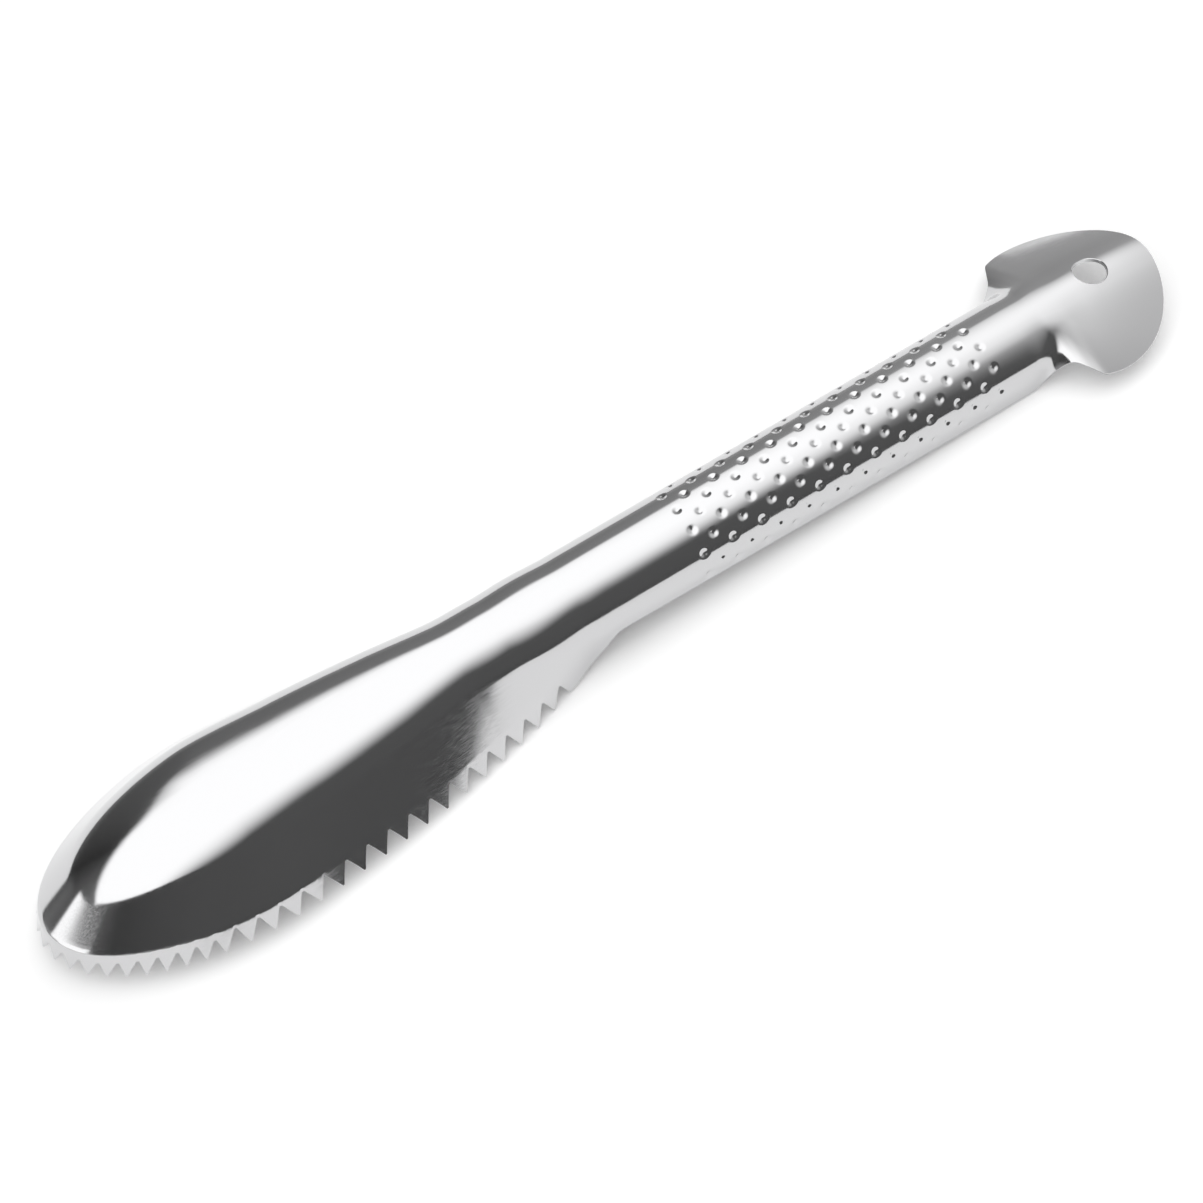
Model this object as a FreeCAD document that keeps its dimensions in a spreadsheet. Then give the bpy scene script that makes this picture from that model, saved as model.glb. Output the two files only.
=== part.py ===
import FreeCAD, Part

import math
import os

# Fish scaler pressed from one stainless steel sheet: a long domed head with a
# serrated rim, a channel-shaped grip with pressed dents, and an arched round end
# with a hanging hole. Sizes are millimetres and degrees. It is laid out along X,
# with the neck at X = 0, the crown at Z = 0, the head towards -X and the round
# end towards +X, and is then set down on the plane Z = 0, convex side up.

# Driving sizes: name, value
SIZES = [
    ("sheet_thickness", 0.8),
    ("nose_length", 34.8),
    ("nose_fullness", 1.95),
    ("nose_depth", 17.0),
    ("nose_slope", 57.0),
    ("nose_edge_turn", 22.0),
    ("nose_shoulder_radius", 14.0),
    ("nose_crown_angle", 10.0),
    ("head_length", 71.0),
    ("head_shoulder_radius", 9.0),
    ("edge_band", 4.0),
    ("crown_angle", 6.2),
    ("grip_length", 89.7),
    ("grip_half_width", 9.42),
    ("grip_depth", 11.1),
    ("grip_slope", 89.5),
    ("grip_shoulder_radius", 8.6),
    ("neck_shoulder_radius", 8.3),
    ("fan_length", 14.6),
    ("disc_radius", 17.5),
    ("disc_side_drop", 6.8),
    ("disc_ridge", 6.0),
    ("disc_end_drop", 0.6),
    ("hole_diameter", 6.4),
    ("hole_offset", 5.1),
    ("dent_pitch", 6.1),
    ("dent_row_pitch", 2.27),
    ("dent_diameter", 2.0),
    ("dent_depth", 0.35),
    ("dent_field_start", 17.7),
    ("dent_field_length", 64.1),
    ("dent_rim_gap", 1.4),
    ("nose_tooth_pitch", 3.2),
    ("side_tooth_pitch", 4.2),
    ("nose_tooth_depth", 2.7),
    ("side_tooth_depth", 3.4),
    ("fine_teeth_length", 32.0),
    ("all_teeth_length", 103.4),
    ("tooth_tip_flat", 0.25),
    ("gullet_flat", 0.4),
]

# Control sections of the head, from the neck to its widest place
HEAD_SECTIONS = ["neck", "throat", "flare", "heel", "cheek", "belly", "flank", "widest"]
HEAD_VALUES = {
    "place": [0.00, 0.07, 0.17, 0.28, 0.40, 0.57, 0.80, 1.00],
    "half_width": [9.10, 9.20, 10.80, 13.10, 15.20, 17.40, 19.15, 20.05],
    "depth": [9.30, 12.40, 15.20, 15.85, 15.90, 15.70, 15.60, 15.80],
    "slope": [89.5, 88.0, 78.0, 65.0, 59.0, 56.5, 55.0, 53.5],
    "edge_turn": [0.0, 0.5, 3.0, 5.0, 1.5, 1.0, 1.5, 8.0],
    "edge_bend": [8.0, 9.0, 11.0, 12.0, 10.0, 5.0, 3.0, 2.1],
}

# Control sections of the fan, between the grip and the middle of the round end
FAN_SECTIONS = ["spring", "rise", "notch", "corner", "lobe"]
FAN_VALUES = {
    "place": [0.13, 0.29, 0.44, 0.56, 0.71],
    "half_width": [9.60, 10.25, 11.80, 14.20, 16.80],
    "slope": [84.5, 60.0, 35.0, 29.5, 27.5],
}

# Samples of the sheet: points across a half section, and sections along each stretch
POINTS_ACROSS = 22
NOSE_ROWS = 12
HEAD_ROWS = 32
GRIP_ROWS = 16
FAN_ROWS = 14
DISC_ROWS = 10
FINE_STEPS = 12
RIM_STEPS = 4

X_AXIS = FreeCAD.Vector(1, 0, 0)
Y_AXIS = FreeCAD.Vector(0, 1, 0)
Z_AXIS = FreeCAD.Vector(0, 0, 1)
ORIGIN = FreeCAD.Vector(0, 0, 0)
SEW_GAP = 0.002
SAME_POINT = 1e-6
CUTTER_REACH = 2.5

doc = FreeCAD.newDocument("fish_scaler")


# Size sheet

def fill_sheet(sheet):
    """Write each driving size into a cell of its own, with its name as alias."""
    named = list(SIZES)
    for sections, values in ((HEAD_SECTIONS, HEAD_VALUES), (FAN_SECTIONS, FAN_VALUES)):
        for kind, column in values.items():
            named += [(section + "_" + kind, value) for section, value in zip(sections, column)]
    for row, (name, value) in enumerate(named, start=1):
        sheet.set("A%d" % row, name.replace("_", " "))
        sheet.set("B%d" % row, str(value))
        sheet.setAlias("B%d" % row, name)


sizes = doc.addObject("Spreadsheet::Sheet", "Sizes")
fill_sheet(sizes)
doc.recompute()


def size(name):
    return float(getattr(sizes, name))


def control(sections, kind):
    return [size(section + "_" + kind) for section in sections]


# Smooth curves through control values

def end_slope(h0, h1, d0, d1):
    """Slope at an end of the curve, kept from overshooting."""
    slope = ((2 * h0 + h1) * d0 - h0 * d1) / (h0 + h1)
    if slope * d0 <= 0:
        return 0.0
    if d0 * d1 <= 0 and abs(slope) > abs(3 * d0):
        return 3 * d0
    return slope


def smooth_curve(xs, ys, start_flat=False, end_flat=False):
    """Piecewise cubic through (xs, ys) that never overshoots its control values."""
    n = len(xs)
    h = [xs[i + 1] - xs[i] for i in range(n - 1)]
    d = [(ys[i + 1] - ys[i]) / h[i] for i in range(n - 1)]
    slopes = [0.0 if start_flat else end_slope(h[0], h[1], d[0], d[1])]
    for i in range(1, n - 1):
        if d[i - 1] * d[i] <= 0:
            slopes.append(0.0)
        else:
            before = 2 * h[i] + h[i - 1]
            after = h[i] + 2 * h[i - 1]
            slopes.append((before + after) / (before / d[i - 1] + after / d[i]))
    slopes.append(0.0 if end_flat else end_slope(h[-1], h[-2], d[-1], d[-2]))

    def at(x):
        x = min(max(x, xs[0]), xs[-1])
        i = max(k for k in range(n - 1) if k == 0 or xs[k] <= x)
        u = (x - xs[i]) / h[i]
        return (ys[i] * (1 + 2 * u) * (1 - u) ** 2 + slopes[i] * h[i] * u * (1 - u) ** 2
                + ys[i + 1] * u * u * (3 - 2 * u) - slopes[i + 1] * h[i] * u * u * (1 - u))

    return at


def ease(u):
    u = min(max(u, 0.0), 1.0)
    return u * u * (3 - 2 * u)


def mix(start, end, u):
    return start + (end - start) * u


# Cross sections, as (reach from the middle plane, fall below the crown) pairs

def pressed_section(half_width, depth, slope, edge_turn, bend, band, shoulder, crown_angle):
    """Crown arc, shoulder arc, straight flank, edge bend and rim band, tangent to
    each other. The crown's radius and the flank's length follow from the half width
    and the depth."""
    crown = math.radians(crown_angle)
    flank = math.radians(slope)
    rim = math.radians(slope + edge_turn)
    fixed_reach = (shoulder * math.sin(flank) + bend * (math.sin(rim) - math.sin(flank))
                   + band * math.cos(rim))
    fixed_fall = (shoulder * (1 - math.cos(flank)) + bend * (math.cos(flank) - math.cos(rim))
                  + band * math.sin(rim))
    reach_left = half_width - fixed_reach
    fall_left = depth - fixed_fall
    fall_share = math.tan(crown / 2)
    flank_length = ((fall_left - fall_share * reach_left)
                    / (math.sin(flank) - fall_share * math.cos(flank)))
    flat = reach_left - flank_length * math.cos(flank)
    crown_radius = shoulder + flat / math.sin(crown)
    points = [(0.0, 0.0)]

    def arc(radius, start, end):
        reach, fall = points[-1]
        for i in range(1, FINE_STEPS + 1):
            angle = mix(start, end, i / FINE_STEPS)
            points.append((reach + radius * (math.sin(angle) - math.sin(start)),
                           fall + radius * (math.cos(start) - math.cos(angle))))

    def line(length, angle):
        reach, fall = points[-1]
        points.append((reach + length * math.cos(angle), fall + length * math.sin(angle)))

    arc(crown_radius, 0.0, crown)
    arc(shoulder, crown, flank)
    line(flank_length, flank)
    if edge_turn > 0:
        arc(bend, flank, rim)
    if band > 0:
        line(band, rim)
    return points


def even_points(points, count):
    """The same line, as count points at equal distances along it."""
    along = [0.0]
    for a, b in zip(points, points[1:]):
        along.append(along[-1] + math.dist(a, b))
    result = []
    i = 0
    for k in range(count):
        target = along[-1] * k / (count - 1)
        while i < len(points) - 2 and along[i + 1] < target:
            i += 1
        u = (target - along[i]) / (along[i + 1] - along[i])
        result.append((mix(points[i][0], points[i + 1][0], u), mix(points[i][1], points[i + 1][1], u)))
    return result


def crown_reach(half_width, depth, slope):
    """Part of the half width that the crown of a grip section adds to the shoulder's."""
    shoulder = size("grip_shoulder_radius")
    flank = math.radians(slope)
    fall_share = math.tan(math.radians(size("crown_angle")) / 2)
    reach_left = half_width - shoulder * math.sin(flank)
    fall_left = depth - shoulder * (1 - math.cos(flank))
    flank_length = ((fall_left - fall_share * reach_left)
                    / (math.sin(flank) - fall_share * math.cos(flank)))
    return reach_left - flank_length * math.cos(flank)


def depth_of(half_width, flat, slope):
    """Depth of a grip section whose crown adds the reach flat."""
    shoulder = size("grip_shoulder_radius")
    flank = math.radians(slope)
    return (shoulder * (1 - math.cos(flank)) + flat * math.tan(math.radians(size("crown_angle")) / 2)
            + (half_width - shoulder * math.sin(flank) - flat) * math.tan(flank))


def ridge_share(y, half_width):
    """Share of the fall from crown to rim that is reached at y: a hyperbola, round over
    the crown and nearly straight to each side."""
    ridge = size("disc_ridge")
    return (math.hypot(y, ridge) - ridge) / (math.hypot(half_width, ridge) - ridge)


def ridge_slope(half_width, drop):
    """Slope of that hyperbola at the rim, in degrees."""
    ridge = size("disc_ridge")
    root = math.hypot(half_width, ridge)
    return math.degrees(math.atan(drop * half_width / (root * (root - ridge))))


head_place = control(HEAD_SECTIONS, "place")
head_curve = {kind: smooth_curve(head_place, control(HEAD_SECTIONS, kind), start_flat=True, end_flat=True)
              for kind in HEAD_VALUES if kind != "place"}

fan_place = [0.0] + control(FAN_SECTIONS, "place") + [1.0]
disc_side_slope = ridge_slope(size("disc_radius"), size("disc_side_drop"))
fan_ends = {
    "half_width": (size("grip_half_width"), size("disc_radius")),
    "slope": (size("grip_slope"), disc_side_slope),
}
fan_curve = {kind: smooth_curve(fan_place, [ends[0]] + control(FAN_SECTIONS, kind) + [ends[1]], end_flat=True)
             for kind, ends in fan_ends.items()}
grip_crown_reach = crown_reach(size("grip_half_width"), size("grip_depth"), size("grip_slope"))
disc_crown_reach = crown_reach(size("disc_radius"), size("disc_side_drop"), disc_side_slope)


def head_section(share, count):
    """Half section of the head at a share of its length from the neck."""
    band = size("edge_band") * ease(share / size("flare_place"))
    shoulder = mix(size("neck_shoulder_radius"), size("head_shoulder_radius"), ease(share))
    points = pressed_section(head_curve["half_width"](share), head_curve["depth"](share),
                             head_curve["slope"](share), head_curve["edge_turn"](share),
                             head_curve["edge_bend"](share), band, shoulder, size("crown_angle"))
    return even_points(points, count)


def nose_section(angle, count):
    """Half section of the nose, as if it were round, in the upright plane at angle from
    the cross plane. The nose rows are stretched along X afterwards."""
    along, across = math.sin(angle), math.cos(angle)
    power = size("nose_fullness")
    reach = size("widest_half_width") * (along ** power + across ** power) ** (-1 / power)
    turned = ease(along * along)
    points = pressed_section(reach, mix(size("widest_depth"), size("nose_depth"), turned),
                             mix(size("widest_slope"), size("nose_slope"), turned),
                             mix(size("widest_edge_turn"), size("nose_edge_turn"), turned),
                             size("widest_edge_bend"), size("edge_band"),
                             mix(size("head_shoulder_radius"), size("nose_shoulder_radius"), turned),
                             mix(size("crown_angle"), size("nose_crown_angle"), turned))
    return even_points(points, count)


def walled_section(half_width, depth, slope, shoulder, count):
    """Half section without a rim band."""
    points = pressed_section(half_width, depth, slope, 0.0, 0.0, 0.0, shoulder, size("crown_angle"))
    return even_points(points, count)


def grip_section(share, count):
    """Half section of the grip at a share of its length from the neck."""
    return walled_section(mix(size("neck_half_width"), size("grip_half_width"), share),
                          mix(size("neck_depth"), size("grip_depth"), share), size("grip_slope"),
                          mix(size("neck_shoulder_radius"), size("grip_shoulder_radius"), share), count)


def fan_section(share, count):
    """Half section between the grip and the round end: the walls lean out and the
    channel opens into the arch."""
    half_width = fan_curve["half_width"](share)
    slope = fan_curve["slope"](share)
    opened = ease(share)
    depth = depth_of(half_width, mix(grip_crown_reach, disc_crown_reach, opened), slope)
    channel = walled_section(half_width, depth, slope, size("grip_shoulder_radius"), count)
    section = []
    for k, (reach, fall) in enumerate(channel):
        arch_reach = half_width * k / (count - 1)
        arch_fall = depth * ridge_share(arch_reach, half_width)
        section.append((mix(reach, arch_reach, opened), mix(fall, arch_fall, opened)))
    return section


def disc_section(angle, count):
    """Half section of the round end in the upright plane at angle from the cross plane."""
    radius = size("disc_radius")
    section = []
    for k in range(count):
        share = k / (count - 1)
        side_fall = size("disc_side_drop") * ridge_share(share * radius * math.cos(angle), radius)
        end_fall = size("disc_end_drop") * (share * math.sin(angle)) ** 2
        section.append((share * radius, side_fall + end_fall))
    return section


# Rows of points over one half of the sheet, from the tip of the nose to the end of the disc

def cross_row(x, section):
    return [FreeCAD.Vector(x, reach, -fall) for reach, fall in section]


def turned_row(x, stretch, angle, section):
    return [FreeCAD.Vector(x + stretch * reach * math.sin(angle), reach * math.cos(angle), -fall)
            for reach, fall in section]


def stretch_rows(steps, count):
    """Rows of the nose, of the body between the two ends, and of the round end. Stretches
    that meet share a row, and the grip's rows close up towards its ends."""
    nose_rows, head_rows, grip_rows, fan_rows, disc_rows = [
        steps * rows for rows in (NOSE_ROWS, HEAD_ROWS, GRIP_ROWS, FAN_ROWS, DISC_ROWS)]
    head_x = -size("head_length")
    grip_x = size("grip_length")
    disc_x = grip_x + size("fan_length")
    right = math.pi / 2
    nose_angles = [right * (1 - i / nose_rows) for i in range(nose_rows + 1)]
    disc_angles = [right * i / disc_rows for i in range(disc_rows + 1)]
    nose_stretch = -size("nose_length") / size("widest_half_width")
    grip_shares = [ease(i / grip_rows) for i in range(grip_rows)]
    nose = [turned_row(head_x, nose_stretch, angle, nose_section(angle, count)) for angle in nose_angles]
    disc = [turned_row(disc_x, 1, angle, disc_section(angle, count)) for angle in disc_angles]
    body = [cross_row(head_x * (1 - i / head_rows), head_section(1 - i / head_rows, count))
            for i in range(head_rows)]
    body += [cross_row(grip_x * share, grip_section(share, count)) for share in grip_shares]
    body += [cross_row(mix(grip_x, disc_x, i / fan_rows), fan_section(i / fan_rows, count))
             for i in range(fan_rows + 1)]
    return [nose, body, disc]


def mirrored_point(point):
    return FreeCAD.Vector(point.x, -point.y, point.z)


def inner_rows(rows):
    """The rows of the underside, one sheet thickness below the rows of the top."""
    last_row = len(rows) - 1
    last_point = len(rows[0]) - 1
    result = []
    for i, row in enumerate(rows):
        before = rows[i - 1] if i > 0 else [mirrored_point(p) for p in rows[1]]
        after = rows[i + 1] if i < last_row else [mirrored_point(p) for p in rows[last_row - 1]]
        under = []
        for j, point in enumerate(row):
            normal = Z_AXIS
            if j > 0:
                across = row[min(j + 1, last_point)] - row[j - 1]
                normal = (after[j] - before[j]).cross(across).normalize()
            under.append(point - normal * size("sheet_thickness"))
        result.append(under)
    return result


def joined(stretches):
    """All rows in one list, with each shared row once."""
    rows = list(stretches[0])
    for stretch in stretches[1:]:
        rows += stretch[1:]
    return rows


def split_like(rows, stretches):
    """Cut one list of rows back into stretches that share their end rows."""
    result = []
    start = 0
    for stretch in stretches:
        result.append(rows[start:start + len(stretch)])
        start += len(stretch) - 1
    return result


# Solid of the formed sheet

def spline(points, places):
    """Cubic curve through points at the given places, or one point repeated."""
    if (points[0] - points[-1]).Length < SAME_POINT and (points[0] - points[1]).Length < SAME_POINT:
        return [points[0]] * (len(points) + 2), None
    curve = Part.BSplineCurve()
    curve.interpolate(Points=points, Parameters=places)
    return curve.getPoles(), curve


def skin(rows):
    """Cubic surface through rows of points. Its edges depend on its edge rows alone, so
    neighbours that share a row share that edge."""
    across = [k / (len(rows[0]) - 1) for k in range(len(rows[0]))]
    along = [0.0]
    for row, after in zip(rows, rows[1:]):
        along.append(along[-1] + (after[-1] - row[-1]).Length)
    row_poles, row_curves = zip(*[spline(row, across) for row in rows])
    columns = [spline(list(column), along) for column in zip(*row_poles)]
    poles = [list(row) for row in zip(*[column[0] for column in columns])]
    along_curve = columns[-1][1]
    across_curve = row_curves[0]
    surface = Part.BSplineSurface()
    surface.buildFromPolesMultsKnots(poles, along_curve.getMultiplicities(),
                                     across_curve.getMultiplicities(), along_curve.getKnots(),
                                     across_curve.getKnots(), False, False,
                                     along_curve.Degree, across_curve.Degree)
    return surface


def formed_sheet(top, under):
    """Closed solid of both halves: top skins, underside skins and the cut rim."""
    half = []
    for outer, inner in zip(top, under):
        upper, lower = skin(outer), skin(inner)
        upper_rim = upper.vIso(upper.bounds()[3]).toShape()
        lower_rim = lower.vIso(lower.bounds()[3]).toShape()
        half += [upper.toShape(), lower.toShape(), Part.makeRuledSurface(upper_rim, lower_rim)]
    shape = Part.Compound(half + [face.mirror(ORIGIN, Y_AXIS) for face in half])
    shape.sewShape(SEW_GAP)
    solid = Part.makeSolid(shape.Shells[0])
    if solid.Volume < 0:
        solid.reverse()
    return solid


# Gullets between the teeth

def rim_path(stretches):
    """Rim of the nose and the head as (distance from the tip, point, direction up the sheet)."""
    rows = joined(stretches[:2])
    path = []
    distance = 0.0
    for i, row in enumerate(rows):
        if i > 0:
            distance += (row[-1] - rows[i - 1][-1]).Length
        path.append((distance, row[-1], (row[-2] - row[-1]).normalize()))
    return path


def rim_frame(path, distance):
    """Point on the rim, direction along it and direction up the sheet."""
    i = max(k for k in range(len(path) - 1) if k == 0 or path[k][0] <= distance)
    u = (distance - path[i][0]) / (path[i + 1][0] - path[i][0])
    point = path[i][1] * (1 - u) + path[i + 1][1] * u
    up = (path[i][2] * (1 - u) + path[i + 1][2] * u).normalize()
    along = (path[i + 1][1] - path[i][1]).normalize()
    return point, along, up


def tooth_tips():
    """Distances of the tooth tips along the rim, from the tip of the nose."""
    tips = [0.0]
    while tips[-1] + size("nose_tooth_pitch") <= size("fine_teeth_length") + SEW_GAP:
        tips.append(tips[-1] + size("nose_tooth_pitch"))
    while tips[-1] + size("side_tooth_pitch") <= size("all_teeth_length") + SEW_GAP:
        tips.append(tips[-1] + size("side_tooth_pitch"))
    return tips


def gullet(path, start, end):
    """Cutter for the gap between two tips."""
    point, along, up = rim_frame(path, (start + end) / 2)
    half_top = (end - start - size("tooth_tip_flat")) / 2
    half_root = size("gullet_flat") / 2
    fine = end <= size("fine_teeth_length") + SEW_GAP
    depth = size("nose_tooth_depth") if fine else size("side_tooth_depth")
    outline = [(-half_top, -CUTTER_REACH), (half_top, -CUTTER_REACH), (half_top, 0),
               (half_root, depth), (-half_root, depth), (-half_top, 0)]
    normal = along.cross(up).normalize()
    corners = [point + along * a + up * b - normal * CUTTER_REACH for a, b in outline]
    face = Part.Face(Part.makePolygon(corners + corners[:1]))
    return face.extrude(normal * 2 * CUTTER_REACH)


def gullet_cutters(stretches):
    path = rim_path(stretches)
    tips = tooth_tips()
    half = [gullet(path, start, end) for start, end in zip(tips, tips[1:])]
    return Part.Compound(half + [cutter.mirror(ORIGIN, Y_AXIS) for cutter in half])


# Dents of the grip

def dent_places(x):
    """Point and outward direction of each dent of one ring, crown to rim."""
    section = grip_section(x / size("grip_length"), POINTS_ACROSS * FINE_STEPS)
    step = math.dist(section[0], section[1])
    length = step * (len(section) - 1)
    places = []
    row = 0
    while row * size("dent_row_pitch") <= length - size("dent_rim_gap"):
        k = min(int(row * size("dent_row_pitch") / step), len(section) - 2)
        reach, fall = section[k]
        turn = math.atan2(section[k + 1][1] - fall, section[k + 1][0] - reach)
        outward = FreeCAD.Vector(0, math.sin(turn), math.cos(turn))
        places.append((row, FreeCAD.Vector(x, reach, -fall), outward))
        row += 1
    return places


def dent_cutters():
    radius = (size("dent_diameter") ** 2 / 4 + size("dent_depth") ** 2) / (2 * size("dent_depth"))
    balls = []
    half_pitch = size("dent_pitch") / 2
    for ring in range(int(size("dent_field_length") / half_pitch) + 1):
        for row, point, outward in dent_places(size("dent_field_start") + ring * half_pitch):
            if (row + ring) % 2 == 0:
                centre = point + outward * (radius - size("dent_depth"))
                balls.append(Part.makeSphere(radius, centre, X_AXIS))
                if row > 0:
                    balls.append(Part.makeSphere(radius, mirrored_point(centre), X_AXIS))
    return Part.Compound(balls)


# How it comes to rest

def lower_edge(points, middle):
    """The two points of the lower hull of (x, z) points that the weight lies between."""
    hull = []
    for point in sorted(points):
        while len(hull) > 1 and ((hull[-1][0] - hull[-2][0]) * (point[1] - hull[-2][1])
                                 <= (hull[-1][1] - hull[-2][1]) * (point[0] - hull[-2][0])):
            hull.pop()
        hull.append(point)
    for start, end in zip(hull, hull[1:]):
        if start[0] <= middle <= end[0]:
            return start, end
    return hull[0], hull[-1]


def rest_placement(shape, rows, under):
    """Turn about Y that lays the rim on the plane Z = 0, and the move to its middle."""
    rim = [(row[-1].x, row[-1].z) for row in rows + under]
    start, end = lower_edge(rim, shape.CenterOfMass.x)
    turn = FreeCAD.Rotation(Y_AXIS, math.degrees(math.atan2(end[1] - start[1], end[0] - start[0])))
    turned = shape.copy()
    turned.Placement = FreeCAD.Placement(ORIGIN, turn)
    box = turned.optimalBoundingBox(False, False)
    move = FreeCAD.Vector(-(box.XMin + box.XMax) / 2, -(box.YMin + box.YMax) / 2, -box.ZMin)
    return FreeCAD.Placement(move, turn)


# Document

def cut(name, base, tool):
    result = doc.addObject("Part::Cut", name)
    result.Base = base
    result.Tool = tool
    return result


fine_top = stretch_rows(RIM_STEPS, POINTS_ACROSS)
top_rows = stretch_rows(1, POINTS_ACROSS)
under_rows = split_like(inner_rows(joined(top_rows)), top_rows)

sheet_metal = doc.addObject("Part::Feature", "formed_sheet")
sheet_metal.Shape = formed_sheet(top_rows, under_rows)

gullets = doc.addObject("Part::Feature", "gullets")
gullets.Shape = gullet_cutters(fine_top)

dents = doc.addObject("Part::Feature", "dents")
dents.Shape = dent_cutters()

hole = doc.addObject("Part::Cylinder", "hanging_hole")
hole.setExpression("Radius", "Sizes.hole_diameter / 2")
hole.setExpression("Height", "2 * Sizes.disc_side_drop")
hole.setExpression("Placement.Base.x", "Sizes.grip_length + Sizes.fan_length + Sizes.hole_offset")
hole.setExpression("Placement.Base.z", "-Sizes.disc_side_drop")

serrated = cut("serrated", sheet_metal, gullets)
pierced = cut("pierced", serrated, hole)
body = cut("dented", pierced, dents)
body.Label = "scaler_body"
doc.recompute()
body.Placement = rest_placement(body.Shape.Solids[0], joined(top_rows), joined(under_rows))
doc.recompute()

for item in doc.Objects:
    if "Invalid" in item.State or "Error" in item.State:
        raise RuntimeError(item.Name + " failed: " + str(item.State))
if body.Shape.isNull() or not body.Shape.isValid() or len(body.Shape.Solids) != 1:
    raise RuntimeError("the scaler body is not one valid solid")

os.makedirs("parts", exist_ok=True)
body.Shape.exportStep("parts/" + body.Label + ".step")
print("%s: %.2f cm3" % (body.Label, body.Shape.Volume / 1000))
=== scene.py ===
import math

import bmesh
import bpy
import numpy as np
from mathutils import Matrix, Vector


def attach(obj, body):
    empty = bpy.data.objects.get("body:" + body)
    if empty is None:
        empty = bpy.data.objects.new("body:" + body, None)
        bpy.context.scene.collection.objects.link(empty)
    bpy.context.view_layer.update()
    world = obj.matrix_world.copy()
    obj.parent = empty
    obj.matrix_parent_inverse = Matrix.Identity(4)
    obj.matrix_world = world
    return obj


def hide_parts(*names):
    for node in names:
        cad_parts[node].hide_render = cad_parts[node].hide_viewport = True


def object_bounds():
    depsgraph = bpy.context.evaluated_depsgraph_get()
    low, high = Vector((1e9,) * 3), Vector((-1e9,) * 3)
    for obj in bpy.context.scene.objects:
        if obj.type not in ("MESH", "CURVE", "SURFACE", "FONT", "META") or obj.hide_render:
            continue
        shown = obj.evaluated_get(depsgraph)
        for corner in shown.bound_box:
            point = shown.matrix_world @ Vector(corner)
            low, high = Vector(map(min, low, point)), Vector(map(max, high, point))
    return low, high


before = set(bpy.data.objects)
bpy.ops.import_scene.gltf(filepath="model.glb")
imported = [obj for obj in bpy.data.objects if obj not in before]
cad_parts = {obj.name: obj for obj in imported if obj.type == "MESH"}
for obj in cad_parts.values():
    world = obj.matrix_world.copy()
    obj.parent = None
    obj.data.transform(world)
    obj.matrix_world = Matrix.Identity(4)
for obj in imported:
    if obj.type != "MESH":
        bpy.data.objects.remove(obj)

bl_info = {
    "name": "Fish Scaler",
    "version": (1, 0, 0),
    "blender": (4, 5, 0),
    "location": "3D View > Sidebar > Fish Scaler",
    "description": "Pressed stainless steel fish scaler in a plain studio",
    "category": "Add Mesh",
}

CAD_LOW, CAD_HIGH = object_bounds()
MM = 0.001
NODE = "scaler_body"

# Stations at which the rim is measured: from nose to neck to place the teeth, and all along to find how
# the scaler rests on the floor
RIM_STATIONS = 4001
REST_STATIONS = 1601
# Added before a number of pitches is rounded down, so that a whole number stays whole
COUNT_GUARD = 0.01
# Smallest difference that counts, in stations and in lengths
TINY = 1e-6
# Shortest vector that can still be brought to length 1
SHORTEST = 1e-12
# Points of two grids nearer than this are one point
MERGE_DISTANCE = 0.002 * MM
# Edges that turn by more than this are drawn sharp
SHARP_ANGLE = math.radians(38)
# Levels between which Blender's noise mostly stays
NOISE_LOW, NOISE_HIGH = 0.3, 0.7
# Floor, with the radius of the hole in its middle, and dome of the tent, which stops just short of its pole
FLOOR_CENTRE = 1.0 * MM
FLOOR_SIDES = 96
TENT_SIDES = 240
TENT_ROWS = 91
TENT_POLE_GAP = 1e-3
# Directions are taken to rise by at least this share of their length, which keeps their slopes finite
LEAST_RISE = 1e-3


# Settings


def length(name, millimetres, description):
    return bpy.props.FloatProperty(name=name, default=millimetres * MM, unit="LENGTH", precision=5,
                                   description=description)


def angle(name, degrees, description):
    return bpy.props.FloatProperty(name=name, default=math.radians(degrees), subtype="ANGLE",
                                   description=description)


def number(name, value, description):
    return bpy.props.FloatProperty(name=name, default=value, min=0.0, description=description)


def count(name, value, description):
    return bpy.props.IntProperty(name=name, default=value, min=1, description=description)


def column(name, values, description, scale=1.0):
    return bpy.props.FloatVectorProperty(name=name, size=len(values), precision=5,
                                         default=[value * scale for value in values],
                                         description=description)


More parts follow.
